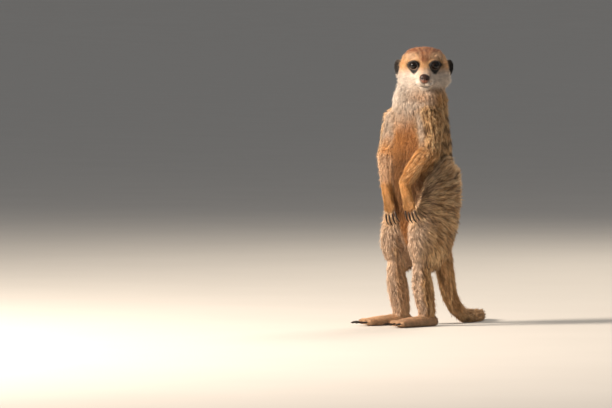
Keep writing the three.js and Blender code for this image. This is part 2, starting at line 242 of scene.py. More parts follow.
def sculpt_face(field, x, y, z):
    """Distances to the head at those places (mm), with lips, chin and lids worked in."""
    h = [sum(a * (c - o) for a, c, o in zip(axis, (x, y, z), head_origin)) for axis in HEAD_AXES]
    hx, hy, hz = h
    # The coat thins towards the nose.
    to_nose = np.sqrt(hx**2 + (hy - NOSE[1]) ** 2 + (hz - NOSE[2]) ** 2)
    field = field - 0.8 * smooth(to_nose, 34, 12)
    # Lips: a rounded pad each side of the groove under the nose, and a small chin.
    for sign in SIDES.values():
        pad = np.sqrt((hx - sign * 4.4) ** 2 + (hy + 38.4) ** 2 + ((hz + 16) * 1.05) ** 2) - LIP_RADIUS
        field = join_softly(field, pad, 2.5)
    chin = np.sqrt((hx / 1.25) ** 2 + (hy + 35) ** 2 + (hz + 21.6) ** 2) - CHIN_RADIUS
    field = join_softly(field, chin, 3)
    line = MOUTH["level"] + MOUTH["curve"] * hx**2
    groove = bell(hz - line, MOUTH["width"]) * smooth(MOUTH["half"] - np.abs(hx), 0, 3)
    cleft = bell(hx, 0.6) * smooth(hz, -14, -16) * smooth(hz, -21, -20)
    field = field + smooth(hy, -22, -30) * np.maximum(MOUTH["depth"] * groove, 0.7 * cleft)
    # Eyes: lids over each ball, and a gap between them that ends under the ball's surface.
    for sign in SIDES.values():
        axes = gaze_axes(sign)
        rel = (hx - sign * EYE[0], hy - EYE[1], hz - EYE[2])
        u, v, w = (sum(a * c for a, c in zip(axis, rel)) for axis in axes)
        gap, above, r = lid_gap(u, v, w, sign)
        field = join_softly(field, r - EYE_RADIUS - LID, 2.4)
        crease, rim = bell(gap - 2.4, 0.7) * smooth(above, 0.1, 0.6), bell(gap - 0.9, 0.7)
        field = field + smooth(r, EYE_RADIUS + 3.5, EYE_RADIUS + 2) * (0.35 * crease - 0.3 * rim)
        hole = np.maximum(np.maximum(gap, EYE_RADIUS - 1.0 - r), r - EYE_RADIUS - 4)
        field = -join_softly(-field, hole, 0.5)
    return field.astype(np.float32)


def padded_box(nodes, margin):
    boxes = np.array([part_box(node) for node in nodes]) / MM
    return boxes[:, 0].min(0) - margin, boxes[:, 1].max(0) + margin


FINE = STEP / 2
FADE = 3.0  # mm over which a fine block takes over from the coarse one
margin = REACH + FADE
head_low, head_high = padded_box(["head", "nose", "ear_left", "ear_right"], margin)
rooms = [(head_low, head_high)]
for side in SIDES:
    rooms += [padded_box([f"hand_{side}"], margin), padded_box([f"foot_{side}"], margin)]

details = []
for i, (low, high) in enumerate(rooms):
    low, high = (np.maximum(body_low, np.floor(low)), np.minimum(body_high, np.ceil(high)))
    low = np.floor(low / STEP) * STEP
    field, first = flesh(FINE, low, high)
    sculpted = sculpt_face(field, *places(first, field.shape, FINE)) if i == 0 else field
    weight = np.ones(field.shape, np.float32)
    for c, lo, hi in zip(places(first, field.shape, FINE), low, high):
        weight = weight * smooth(c, lo + REACH, lo + margin) * smooth(c, hi - REACH, hi - margin)
    details.append((field, first, weight, i == 0))
    offset, half_size = first // 2 - body_first, (np.array(field.shape) + 1) // 2
    coarse = tuple(slice(a, a + n) for a, n in zip(offset, half_size))
    held = body[coarse]
    share = weight[::2, ::2, ::2][tuple(slice(0, n) for n in held.shape)]
    fine = sculpted[::2, ::2, ::2][tuple(slice(0, n) for n in held.shape)]
    body[coarse] = held * (1 - share) + fine * share


def sample(field, first, step, points):
    """Values of a field at points (mm), and which of them lie in its block."""
    at = points / step - first
    inside = ((at >= 0) & (at <= np.array(field.shape) - 1.001)).all(1)
    at = np.clip(at, 0, np.array(field.shape) - 1.001)
    low = at.astype(int)
    share = (at - low).astype(np.float32)
    total = np.zeros(len(points), np.float32)
    for corner in np.ndindex(2, 2, 2):
        weight = np.prod([s if c else 1 - s for s, c in zip(share.T, corner)], axis=0)
        total += weight * field[tuple((low + corner).T)]
    return total, inside


def to_skin(points):
    """The distance from the skin at points, with the fine blocks used where they reach."""
    value, _ = sample(body, body_first, STEP, points)
    for field, first, weight, is_head in details:
        fine, inside = sample(field, first, FINE, points)
        if is_head:
            fine = sculpt_face(fine, *points.T)
        share, _ = sample(weight, first, FINE, points)
        value = np.where(inside, value * (1 - share) + fine * share, value)
    return value


def slope_of_skin(points, reach=0.35):
    steps = np.eye(3) * reach
    return one_long(np.stack([to_skin(points + s) - to_skin(points - s) for s in steps], 1))


# --------------------------------------
# Skin mesh: drawn round the field in quads, with each quad of the face, ears and hands cut in four, and
# those of eyes and lips once more, then laid back on the finer field.

FACE_BACK = -6.0  # mm behind the head's middle, where the face's finer quads end
LIPS, EYE_ROOM, LIP_ROOM = (5, -37, -17), 9.5, 9  # where the finest quads are, and how far round (mm)

points, quads = quads_round(body, body_first, STEP)

mesh = bpy.data.meshes.new("skin")
mesh.from_pydata(points.tolist(), [], quads.tolist())
skin_bm = bmesh.new()
skin_bm.from_mesh(mesh)
bmesh.ops.recalc_face_normals(skin_bm, faces=skin_bm.faces)

# Loose shells inside the body are dropped.
unseen, shells = set(skin_bm.verts), []
while unseen:
    shell, edge_of_shell = set(), [next(iter(unseen))]
    while edge_of_shell:
        vert = edge_of_shell.pop()
        if vert in shell:
            continue
        shell.add(vert)
        edge_of_shell += [e.other_vert(vert) for e in vert.link_edges]
    shells.append(shell)
    unseen -= shell
shells.sort(key=len)
bmesh.ops.delete(skin_bm, geom=[v for shell in shells[:-1] for v in shell], context="VERTS")



def face_middles():
    return np.array([f.calc_center_median() for f in skin_bm.faces])


def cut_in_four(chosen):
    edges = {e for f, fine in zip(skin_bm.faces, chosen) if fine for e in f.edges}
    bmesh.ops.subdivide_edges(skin_bm, edges=list(edges), cuts=1, use_grid_fill=True)


middles = face_middles()
fine_face = (middles - head_origin) @ HEAD_AXES[1] < FACE_BACK
fine_face &= middles[:, 2] > head_low[2] + margin + 4
for name in [f"{part}_{side}" for part in ("ear", "hand") for side in SIDES]:
    low, high = padded_box([name], 1.5)
    fine_face |= ((middles > low) & (middles < high)).all(1)
cut_in_four(fine_face)
middles = (face_middles() - head_origin) @ HEAD_AXES.T
middles[:, 0] = np.abs(middles[:, 0])
near_eye = np.linalg.norm(middles - EYE, axis=1) < EYE_ROOM
cut_in_four(near_eye | (np.linalg.norm(middles - LIPS, axis=1) < LIP_ROOM))
skin_bm.to_mesh(mesh)
skin_bm.free()

skin_points = read_all(mesh.vertices, "co", (-1, 3), float)
edge_ends = read_all(mesh.edges, "vertices", (-1, 2))


def spread(values):
    """Each point's values averaged with its neighbours'."""
    total = values.copy()
    count = np.ones(len(values))
    for a, b in (edge_ends.T, edge_ends.T[::-1]):
        for i in range(values.shape[1]):
            total[:, i] += np.bincount(a, values[b, i], len(values))
        count += np.bincount(a, minlength=len(values))
    return total / count[:, None]


for _ in range(2):
    skin_points = skin_points * 0.5 + spread(skin_points) * 0.5
    for _ in range(2):
        skin_points -= slope_of_skin(skin_points) * to_skin(skin_points)[:, None] * 0.9
skin_points[:, 2] = np.maximum(skin_points[:, 2], 0.05)
skin_slopes = slope_of_skin(skin_points)
mesh.vertices.foreach_set("co", (skin_points * MM).ravel())
mesh.update()


def put_in_scene(name, data):
    made = bpy.data.objects.new(name, data)
    bpy.context.scene.collection.objects.link(made)
    return made


skin = put_in_scene("skin", mesh)

# How near each solid is to each point of the skin, as shares that add up to one.
nodes = list(FLESH)
nearness = np.stack([sample(*distances(*shape_of(node), STEP), STEP, skin_points)[0] for node in nodes], 1)
nearness = np.where(nearness < REACH - 0.01, nearness, REACH)
shares = np.exp(-(nearness - nearness.min(1, keepdims=True)) / 1.4) * (nearness < REACH - 0.01)
shares /= shares.sum(1, keepdims=True)
skin_node = nearness.argmin(1)
soft_shares = shares
for _ in range(12):
    soft_shares = spread(soft_shares)


def share_of(*names, of=soft_shares):
    """How much each point of the skin belongs to the solids whose names start so."""
    return sum(of[:, i] for i, node in enumerate(nodes) if node.startswith(names))


def long_axis(node):
    points, _ = shape_of(node)
    middle = points.mean(0)
    turns = np.linalg.eigh(np.cov((points - middle).T))[1].T[::-1]
    if node in ("head", "trunk", "neck"):
        turns = HEAD_AXES[[1, 0, 2]] if node == "head" else np.array([[0, 0, 1], [1, 0, 0], [0, 1, 0]])
        middle = (points.min(0) + points.max(0)) / 2
    if node == "head":
        middle = head_origin + HEAD_AXES.T @ [0, -8, -9]
    rel = (points - middle) @ turns.T
    return middle, turns, np.abs(rel[:, 0]).max(), np.median(np.hypot(rel[:, 1], rel[:, 2]))


# The unwrap: each solid's stretch of skin is rolled off its own long axis, with the ends opened out.
ROLLS = {node: long_axis(node) for node in nodes}


def rolled(node, points):
    """The share of a turn round the node's axis, and the distance along it (mm)."""
    middle, turns, half, radius = ROLLS[node]
    along, side, deep = ((points - middle) @ turns.T).T
    out = np.hypot(side, deep)
    opened = along + np.clip(along / half, -1, 1) * np.maximum(0, radius - out)
    return np.arctan2(side, deep) / (2 * np.pi) + 0.5, opened


def atlas(names):
    """Each node's place on shelves in the unit square: left, bottom, width, height, first mm, mm long."""
    sizes = {}
    for name in names:
        radius = ROLLS[name][3]
        span = rolled(name, skin_points[skin_node == nodes.index(name)])[1]
        sizes[name] = (7.0 * radius, span.max() - span.min() + 4, span.min() - 2)
    wide = np.sqrt(sum(w * h for w, h, _ in sizes.values())) * 1.05
    wide = max(wide, max(w for w, _, _ in sizes.values()))
    found, left, bottom, shelf = {}, 0.0, 0.0, 0.0
    for name in sorted(names, key=lambda n: -sizes[n][1]):
        w, h, start = sizes[name]
        if left + w > wide + 1e-6:
            left, bottom, shelf = 0.0, bottom + shelf, 0.0
        found[name] = [left, bottom, w, h, start]
        left, shelf = left + w, max(shelf, h)
    full = np.array([max(f[0] + f[2] for f in found.values()), bottom + shelf])
    grow = 0.98 / full
    return {
        n: (0.01 + f[0] * grow[0], 0.01 + f[1] * grow[1], f[2] * grow[0], f[3] * grow[1], f[4], f[3])
        for n, f in found.items()
    }


def on_atlas(sheet, name, turn, along):
    left, bottom, width, height, start, length = sheet[name]
    return np.stack([left + (0.03 + turn * 0.9) * width, bottom + (along - start) / length * height], -1)


loop_points = read_all(mesh.loops, "vertex_index")
face_starts = read_all(mesh.polygons, "loop_start")
face_of_loop = np.repeat(np.arange(len(face_starts)), np.diff(np.append(face_starts, len(loop_points))))
node_of_loop = skin_node[loop_points[face_starts]][face_of_loop]
loop_uv = np.zeros((len(loop_points), 2))
skin_sheet = atlas(nodes)
for i, name in enumerate(nodes):
    here = node_of_loop == i
    turn, along = rolled(name, skin_points[loop_points[here]])
    first_turn = rolled(name, skin_points[loop_points[face_starts[face_of_loop[here]]]])[0]
    turn = np.where(first_turn - turn > 0.5, turn + 1, np.where(turn - first_turn > 0.5, turn - 1, turn))
    loop_uv[here] = on_atlas(skin_sheet, name, np.clip(turn, -0.03, 1.07), along)
mesh.uv_layers.new(name="OFBake").data.foreach_set("uv", np.clip(loop_uv, 0, 1).ravel())

# --------------------------------------
# Markings: cream cheeks and chest, a brown crown whose top is painted golden as rim light, dark eye patches
# and ears, a rusty belly, golden arms, and a grizzled back crossed by broken dark bands. Skin and coat
# carry the same.

trunk_box = np.array(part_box("trunk")) / MM
mid_x = trunk_box[:, 0].mean()
BACK_LINE = 30.0  # mm from the belly's front to the line that the bands bend round
EYE_PATCH = {"side": 6.6, "above": 5.7, "below": 8.3}
BANDS = {"from": 92, "to": 226, "spacing": 13.5}


def capped(value):
    return np.clip(value, 0, 1)


def spot(h, centre, radii):
    """1 at the centre, fading over the three radii (mm)."""
    return np.exp(-sum(((c - o) / r) ** 2 for c, o, r in zip(h.T, centre, radii)))


def waves(points, size, seed):
    """Slow random waves between about -1 and 1, size mm long."""
    rng = np.random.default_rng(seed)
    total = np.zeros(len(points))
    for _ in range(6):
        wave = one_long(rng.normal(size=3)) * 2 * np.pi / size / rng.uniform(0.7, 1.4)
        total += np.sin(points @ wave + rng.uniform(0, 7))
    return total / 3


def head_points(points):
    return (points - head_origin) @ HEAD_AXES.T


h = head_points(skin_points)
ax, hy, hz = np.abs(h[:, 0]), h[:, 1], h[:, 2]
x, y, z = skin_points[:, 0] - mid_x, skin_points[:, 1], skin_points[:, 2]
axis_y = trunk_box[0, 1] + BACK_LINE
turned = np.degrees(np.arctan2(np.abs(x), -(y - axis_y)))  # 0 in front, 180 at the back
head, ear = share_of("head"), share_of("ear", of=shares)
outwards, forwards = skin_slopes[:, 0] * np.sign(x), -skin_slopes[:, 1]
limbs = ("upper_arm", "forearm", "hand", "thigh", "shank", "foot", "tail")
upper_arm, forearm, hand, thigh, shank, foot, tail = map(share_of, limbs)
trunk, neck = share_of("trunk"), share_of("neck")
torso = trunk + neck
wobble = waves(skin_points, 16, 3)
# the fronts and the inner sides of the legs are pale, and the forward-facing side of each haunch is painted
# paler as painted light
painted_lit_haunch = thigh * smooth(forwards, 0.35, 0.75) * smooth(z, 100, 124)
pale_leg = np.maximum(
    smooth(forwards, 0.15, 0.65) * smooth(z, 124, 100),
    0.9 * smooth(np.abs(x), 24, 8) * smooth(z, 118, 100),
)

# eye patches, longer below the eye; then the lids and lips, and a painted highlight along the lower lid's
# rim, which is made paler than the patch
low = capped((0.3 - hz) / EYE_PATCH["below"])
patch_side = EYE_PATCH["side"] * (1 - 0.5 * low)
patch_tall = np.where(hz > 0.3, EYE_PATCH["above"], EYE_PATCH["below"])
patch = np.hypot((ax - EYE[0] - 0.9 + low * 0.6) / patch_side, (hz - 0.3) / patch_tall)
patch = smooth(patch, 1.16, 0.86) * smooth(hy, -6, -12) * head
u, v, w = gaze_axes(1) @ np.stack([ax - EYE[0], hy - EYE[1], hz - EYE[2]])
gap, above, to_ball = lid_gap(u, v, w, 1)
near_ball = smooth(to_ball, EYE_RADIUS + 3.2, EYE_RADIUS + 2.2) * smooth(w / to_ball, 0.1, 0.4) * head
lid = near_ball * smooth(gap, 0.4, 0.1)
lid_rim_highlight = near_ball * bell(gap, 0.35) * smooth(above, 0.3, -0.7)
lips = bell(hz - MOUTH["level"] - MOUTH["curve"] * ax**2, 0.6) * smooth(hy, -24, -30)
lips = lips * smooth(ax, MOUTH["half"] + 1, MOUTH["half"] - 2) * head
to_nose = np.linalg.norm(h - NOSE, axis=1)
face = np.stack([ax, hy, hz], 1)
brow = spot(face, (11, -15, 8.6), (8, 10, 3.6))
temple = spot(face, (21, -8, 1.5), (5.5, 9, 8))
# under the chin the throat is tan, and the rust and gold there are also painted shade of the chin
throat_tan_and_shade = spot(h, (-2, -20, -29), (14, 17, 6))
beside_nose = spot(face, (3.5, -38, -10), (3.5, 5, 4))
nape = smooth(hy, 8, 20)
wedge = 2.5 + 8 * smooth(ax, 2, 8)  # the crown's brown comes down to a point between the eyes
crown = smooth(hz + 0.3 * wobble - wedge, -1.5, 2.5) * (1 - 0.9 * brow) * (1 - 0.6 * temple)

marks = {"crown": capped(crown + 0.45 * beside_nose) * head * (1 - 0.4 * nape)}
arms_from = z + 3 * wobble + 22 * smooth(outwards, -0.3, 0.5)
marks["gold"] = capped(
    # the top of the head (hz 12 to 17) is painted golden as painted rim light
    head * (0.7 * smooth(hz, 12, 17) + 0.3 * brow + 0.6 * temple)
    + (upper_arm + forearm + hand) * smooth(arms_from, 214, 182)
    + thigh * (0.15 + 0.65 * pale_leg) + 0.25 * painted_lit_haunch + shank * (0.2 + 0.6 * pale_leg)
    + 0.5 * foot + 0.3 * tail + 0.4 * throat_tan_and_shade * (neck + head) + 0.25 * torso * smooth(turned, 82, 58)
)
chest = smooth(turned, 94, 64) * smooth(z + 2.5 * wobble, 197, 238)
marks["cream"] = capped(
    head * np.maximum(smooth(hz - 0.5 * wobble, 1, -10) * (1 - 0.8 * nape) * (1 - 0.7 * temple), 0.4 * brow)
    * (1 - 0.8 * throat_tan_and_shade) * (1 - 0.6 * beside_nose) + torso * chest * (1 - 0.55 * throat_tan_and_shade)
    + 0.75 * upper_arm * smooth(0.6 * forwards - outwards, -0.2, 0.5) * smooth(z + 3 * wobble, 178, 204)
    + 0.62 * thigh * pale_leg + 0.3 * painted_lit_haunch + 0.6 * shank * pale_leg
    # the right forearm's front is painted paler than the left as painted light from the side the light falls
    # from
    + 0.45 * forearm * (x < 0) * smooth(forwards, -0.2, 0.75) + 0.3 * foot
)
belly = trunk * smooth(turned, 76, 50)
marks["rust"] = capped(
    belly * smooth(z + 2.5 * wobble, 232, 200) + 0.4 * thigh * smooth(np.abs(x), 12, 2) * smooth(z, 70, 100)
    + 0.5 * (neck + head) * throat_tan_and_shade + 0.45 * forearm * (x > 0)
)
# broken bands that rise towards the spine, a dark mark of painted shade behind each elbow, and painted shade
# over the lower belly between the arms
dorsal = smooth(turned, 78, 118) * torso + 0.35 * thigh * smooth(turned, 95, 140)
phase = (z + 2.2 * wobble + 5 * np.cos(np.radians(turned))) / BANDS["spacing"]
stripe = smooth(np.cos(2 * np.pi * phase) + 0.5 * waves(skin_points, 7, 9), -0.1, 0.75)
stripe *= smooth(z, BANDS["from"] - 12, BANDS["from"]) * smooth(z, BANDS["to"] + 6, BANDS["to"] - 6)
elbow = np.array(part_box("upper_arm_left")) / MM
elbow = np.array([elbow[1, 0] - mid_x - 3, elbow[1, 1] - 6, elbow[0, 2] + 2])
elbow_shade = spot(np.stack([np.abs(x), y, z], 1), elbow, (10, 9, 8)) * (1 - hand) * (1 - forearm)
marks["band"] = capped(
    stripe * dorsal + 0.8 * elbow_shade + 0.4 * hand * smooth(z, 148, 120)
    + 0.6 * belly * smooth(z, 194, 166) * smooth(z, 100, 125)
)
dark_ear = ear * smooth(np.linalg.norm(h - [0, 4, -2], axis=1), 19, 23)
at_ear = smooth(np.hypot((ax - 27) / 6.8, (hz + 2.3) / 6.8), 1.15, 0.85)
dark_ear = np.maximum(dark_ear, 0.9 * at_ear * smooth(hy, -6, -2) * smooth(hy, 9, 5) * head)
marks["black"] = capped(np.maximum(patch * (1 - 0.3 * lid_rim_highlight), dark_ear) + share_of("tail_tip"))
marks["bare"] = capped(0.6 * np.maximum(lid_rim_highlight, lips) + 0.6 * smooth(to_nose, 6.2, 5.2) * head)
marks["grizzle"] = capped(
    0.1 + 0.8 * dorsal + 0.75 * trunk * smooth(turned, 60, 90) + 0.45 * head * nape + 0.15 * head * crown
    + (0.85 * upper_arm + 0.3 * forearm) * smooth(outwards, -0.2, 0.5) + 0.25 * forearm * (x > 0)
    + 0.25 * hand + thigh * (1 - 0.95 * pale_leg) - 0.15 * painted_lit_haunch
    + 0.7 * shank * (1 - 0.9 * pale_leg) + 0.5 * tail
) * (1 - 0.9 * marks["cream"] * (1 - thigh))

# --------------------------------------
# Coat material: dry hair, each strand banded dark, pale and dark from root to tip. It scatters light
# widely with a faint silky gloss, so it looks matt, and deeper hair is darker, partly from dark underfur
# and partly as painted shade.

HAIR = {
    "back": "#D3A36E", "under": "#46301E", "tip": "#2A1D15", "pale": "#EBCC9E", "gold": "#E4A55E",
    "rust": "#C08144", "crown": "#9A5624", "cream": "#E0D2C4", "band": "#35261D", "black": "#120D0C",
    "bare": "#4A342B",
}


def colour(hex_code):
    channels = [int(hex_code[i : i + 2], 16) / 255 for i in (1, 3, 5)]
    return (*(c / 12.92 if c <= 0.04045 else ((c + 0.055) / 1.055) ** 2.4 for c in channels), 1.0)


def new_material(name):
    material = bpy.data.materials.new(name)
    material.use_nodes = True
    material.node_tree.nodes.clear()
    return material, material.node_tree


def add(kind, settings={}, **inputs):
    """Adds a node to the tree in hand; each input is a value or another node's output."""
    made = tree.nodes.new("ShaderNode" + kind)
    for key, value in settings.items():
        setattr(made, key, value)
    for key, value in inputs.items():
        socket = made.inputs[int(key[1:]) if key[1:].isdigit() else key.replace("_", " ")]
        if isinstance(value, bpy.types.NodeSocket):
            tree.links.new(value, socket)
        else:
            socket.default_value = value
    return made.outputs


coat_hair, tree = new_material("coat_hair")
MIX, MULTIPLY = {"data_type": "RGBA"}, {"operation": "MULTIPLY"}
read = {name: add("Attribute", {"attribute_name": name})["Fac"] for name in ("strand", "tuft", *marks)}
place = add("TexCoord")["Object"]
# patches of 6 mm where neighbouring locks differ, and 1.2 mm for the ticking of single hairs, which is
# coarser than a real hair's 0.05 mm so that it shows
clumps = add("TexNoise", Vector=place, Scale=1 / 0.006, Detail=3.0)["Fac"]
ticks = add("TexNoise", Vector=place, Scale=1 / 0.0012, Detail=1.0)["Fac"]
# dark underfur shows at the roots, most of all where the coat is grizzled; this darkening at the roots is
# also painted shade deep in the coat
root = add("MapRange", i0=read["strand"], i1=0.05, i2=0.6, i3=1.0, i4=0.0)[0]
depth = add("Math", {"operation": "MULTIPLY_ADD"}, i0=read["grizzle"], i1=0.42, i2=0.2)[0]
root = add("Math", MULTIPLY, i0=root, i1=depth)[0]
# guard hairs of the grizzled coat: some locks are pale, some dark, and most have a dark tip
pale = add("MapRange", i0=read["tuft"], i1=0.46, i2=0.74, i3=0.0, i4=0.85)[0]
above_root = add("MapRange", i0=read["strand"], i1=0.1, i2=0.45, i3=0.0, i4=1.0)[0]
dark = add("MapRange", i0=read["tuft"], i1=0.22, i2=0.44, i3=0.85, i4=0.0)[0]
tips = add("MapRange", i0=read["strand"], i1=0.75, i2=1.0, i3=0.0, i4=0.4)[0]
dark = add("Math", {"operation": "MAXIMUM"}, i0=dark, i1=tips)[0]
ticked = add("MapRange", i0=ticks, i1=0.3, i2=0.7, i3=0.6, i4=1.0)[0]
for factor in (read["grizzle"], above_root):
    pale = add("Math", MULTIPLY, i0=pale, i1=factor)[0]
for factor in (ticked, read["grizzle"]):
    dark = add("Math", MULTIPLY, i0=dark, i1=factor)[0]
# this mark carries the real dark bands and also painted shade behind the elbows and over the lower belly
band = add("Math", MULTIPLY, i0=read["band"], i1=0.82)[0]
# each colour lies over those before it
tone = colour(HAIR["back"])
layers = {m: read[m] for m in ("gold", "rust", "crown", "cream")}
layers |= {"under": root, "pale": pale, "tip": dark, "band": band}
layers |= {m: read[m] for m in ("black", "bare")}
for name, amount in layers.items():
    tone = add("Mix", MIX, i0=amount, i6=tone, i7=colour(HAIR[name]))[2]
# neighbouring tufts differ a little in lightness
by_clump = add("MapRange", i0=clumps, i1=0.3, i2=0.7, i3=0.82, i4=1.1)[0]
by_tuft = add("MapRange", i0=read["tuft"], i1=0.0, i2=1.0, i3=0.8, i4=1.12)[0]
shade = add("Math", MULTIPLY, i0=by_clump, i1=by_tuft)[0]
shade = add("CombineColor", i0=shade, i1=shade, i2=shade)[0]
tone = add("Mix", MIX | {"blend_type": "MULTIPLY"}, i0=1.0, i6=tone, i7=shade)[2]
grain = add("TexNoise", Vector=place, Scale=1 / 0.0008, Detail=2.0)["Fac"]
bump = add("Bump", Strength=0.35, Distance=0.0004, Height=grain)["Normal"]
surface = add(
    "BsdfPrincipled", Base_Color=tone, Roughness=0.72, IOR=1.55, Specular_IOR_Level=0.28,
    Sheen_Weight=0.12, Sheen_Roughness=0.45, Normal=bump,
)["BSDF"]
add("OutputMaterial", Surface=surface)


def set_attribute(mesh, name, values):
    held = mesh.attributes.new(name, "FLOAT", "POINT")
    held.data.foreach_set("value", np.asarray(values, np.float32))


def finish_piece(piece, material, slot, *replaced):
    """Gives a piece its material and hides the solids that it stands in for; its slot is not used."""
    faces = piece.data.polygons
    faces.foreach_set("use_smooth", [True] * len(faces))
    piece.data.materials.append(material)
    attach(piece, "root")
    if replaced:
        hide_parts(*replaced)


for name, values in marks.items():
    set_attribute(mesh, name, values)
short = capped(head + hand + foot + ear)
set_attribute(mesh, "strand", 0.25 + 0.4 * short)
set_attribute(mesh, "tuft", 0.3 + 0 * z)
finish_piece(skin, coat_hair, "coat_back", *FLESH)

# --------------------------------------
# Coat: hair in fine pointed tufts that overlap like thatch. It lies from the nose back over the head,
# down the neck, trunk and limbs, and fans backwards over each haunch from the knee.

# For each solid: length (mm), width (mm), lie (degrees off the skin), pull into locks, tufts per mm2.
HAIRS = {
    "head": (3.4, 0.34, 15, 0.15, 4.0), "ear": (1.5, 0.26, 16, 0.0, 5.0),
    "neck": (9.0, 0.5, 24, 0.45, 2.6), "trunk": (9.5, 0.55, 20, 0.4, 2.1),
    "upper_arm": (8.0, 0.52, 22, 0.5, 2.4), "forearm": (6.0, 0.46, 19, 0.4, 2.8),
    "hand": (2.8, 0.3, 15, 0.2, 3.4), "thigh": (11.5, 0.62, 18, 0.45, 2.1),
    "shank": (8.0, 0.52, 20, 0.5, 2.3), "foot": (2.8, 0.34, 13, 0.2, 2.6),
    "tail_base": (8.0, 0.5, 18, 0.4, 2.2), "tail_middle": (7.0, 0.46, 16, 0.4, 2.2),
    "tail_tip": (8.0, 0.46, 15, 0.4, 3.2),
}
hairs = sum(share_of(name)[:, None] * np.array(values) for name, values in HAIRS.items())
length, width, lie, pull, density = hairs.T

# The face has the shortest hair, then the forehead; the ruff of the cheeks, the chest and belly have more.
cheek = spot(face, (22, -2, -14), (9, 12, 12))
on_head = head > 0.5
head_hair = 1.0 + 2.4 * smooth(to_nose, 8, 34) + 1.6 * smooth(hy, -8, 14) + 3.0 * cheek
length = np.where(on_head, head_hair * (0.4 + 0.6 * smooth(to_ball, 6, 10)), length)
width = np.where(on_head, 0.2 + 0.16 * smooth(to_nose, 8, 34), width) * (1 - 0.3 * marks["rust"])
length += torso * (1.5 * chest * smooth(turned, 20, 70) - 2.5 * marks["rust"])
hanging = thigh * smooth(z, 100, 72)  # over the knee's back, where it lies closest
length *= (1 - 0.75 * capped(marks["bare"] * 1.2)) * (1 - 0.15 * hanging)
lie = lie + 9 * cheek * head - 8 * hanging
# the soles, lids and lips grow none
sole = smooth(z, 3.5, 1.0) * smooth(skin_slopes[:, 2], -0.2, -0.7)
density *= 0.92 * (1 + 0.7 * head * smooth(to_nose, 30, 14)) * (1 - sole)
density *= smooth(np.maximum(lid, marks["bare"]), 0.75, 0.4)


def axis_towards(node, way):
    axis = long_axis(node)[1][0]
    return axis * np.sign(axis @ np.asarray(way, float))


def lies(node):
    """The way that the hair points on one solid, at each point of the skin."""
    if node == "head":
        parting = [0.25 * np.sign(h[:, 0]) * smooth(ax, 2, 12), 0 * ax, -0.45 * smooth(hz, -4, -18)]
        return (one_long(h - (NOSE + [0, 2, 0])) + np.stack(parting, 1)) @ HEAD_AXES
    if node.startswith("ear"):
        return one_long(h - [SIDES[node[4:]] * 20, -4, -4]) @ HEAD_AXES
    if node.startswith("thigh"):
        low, high = np.array(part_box(node)) / MM
        # the whorl at the knee lies behind the hand
        knee = np.array([(low[0] + high[0]) / 2, low[1] - 2, 128])
        knee[0] -= 6 * np.sign(knee[0] - mid_x)
        upward_or_down = 0.5 * smooth(z, 118, 150) - 1.5 * smooth(z, 92, 66)
        return one_long(skin_points - knee) + [0, 0.35, -0.3] + np.outer(upward_or_down, [0, 0, 1])
    if node in ("trunk", "neck"):
        apart = 0.3 * np.sign(x) * smooth(np.abs(x), 3, 18)
        return np.stack([apart, 0.12 * smooth(turned, 60, 120), -1 + 0 * x], 1)
    ways = {"tail_base": (0, 0.3, -1), "tail_middle": (-0.3, 1, 0), "tail_tip": (-1, 0.6, 0)}
    way = ways.get(node, (0, -1, 0) if node.startswith("foot") else (0, 0, -1))
    return np.tile(axis_towards(node, way), (len(skin_points), 1))


flow = sum(shares[:, i, None] * lies(node) for i, node in enumerate(nodes))
for _ in range(14):
    flow = spread(flow)
    flow -= skin_slopes * (flow * skin_slopes).sum(1, keepdims=True)
flow = one_long(flow)

mesh.calc_loop_triangles()
triangles = read_all(mesh.loop_triangles, "vertices", (-1, 3))
a, b, c = (skin_points[triangles[:, i]] for i in range(3))
areas = np.linalg.norm(np.cross(b - a, c - a), axis=1) / 2
triangle_node = skin_node[triangles[:, 0]]
wanted = areas * density[triangles].mean(1)

# One tuft: three corners at the root, three half way and the tip, closed underneath.
TUFT_FACES = [(0, 1, 4, 3), (1, 2, 5, 4), (2, 0, 3, 5), (3, 4, 6), (4, 5, 6), (5, 3, 6), (2, 1, 0)]
TUFT_STRAND = np.array([0, 0, 0, 0.5, 0.5, 0.5, 1.0])
POINTS = len(TUFT_STRAND)
SUNK = 0.25  # mm that the root goes into the skin
PATCH = 0.003  # size of a tuft's place on the atlas
STREAK = (3.2, 15.0)  # mm across and along a streak of paler or darker locks
TUFT_PATCH = PATCH * np.array(
    [(-0.5, -0.5), (0.5, -0.5), (0, -0.35), (-0.4, 0.05), (0.4, 0.05), (0, 0.05), (0, 0.5)]
)


def streaks(points, ways, size, reach, seed):
    """Random waves, size mm from crest to crest across the lie of the coat, drawn out along it."""
    rng = np.random.default_rng(seed)
    total = np.zeros(len(points))
    for _ in range(28):
        wave = one_long(rng.normal(size=3)) * 2 * np.pi / size / rng.uniform(0.75, 1.4)
        total += np.sinc(ways @ wave * reach / (2 * np.pi)) * np.sin(points @ wave + rng.uniform(0, 7))
    return total / total.std()


